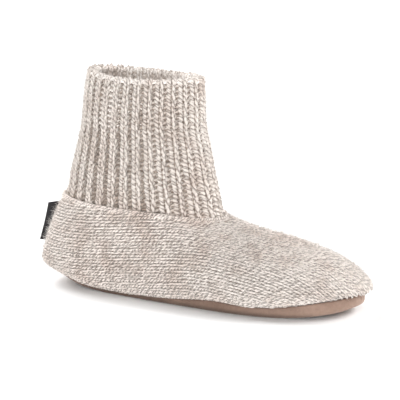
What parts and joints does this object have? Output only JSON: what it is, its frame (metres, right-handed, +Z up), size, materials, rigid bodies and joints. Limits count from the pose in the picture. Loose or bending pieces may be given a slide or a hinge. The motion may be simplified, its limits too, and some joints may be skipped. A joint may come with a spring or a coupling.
{
  "type": "slipper sock",
  "caption": "Knitted wool slipper sock with a hollow foot, a ribbed cuff open at the collar, a fleece insole, a soft padded sole and a blank heel tab.",
  "frame": {"origin": "middle of the whole length, on the floor under the sole", "axes": "+X from heel to toe, +Y to the wearer's left, +Z up"},
  "size_m": [0.2804, 0.095, 0.1662],
  "materials": {
    "wool_jersey": "marled cream and taupe wool jersey, soft and slightly hairy",
    "wool_rib": "marled cream and taupe wool in one-by-one rib, matt",
    "sueded_sole": "taupe sueded sole, matt with a fine nap",
    "fleece": "oatmeal fleece, matt",
    "woven_tab": "near-black woven tape, left blank"
  },
  "bodies": {
    "root": {"foot": "wool_jersey", "cuff": "wool_rib", "sole": "sueded_sole", "insole": "fleece", "heel_label": "woven_tab"}
  },
  "joints": []
}
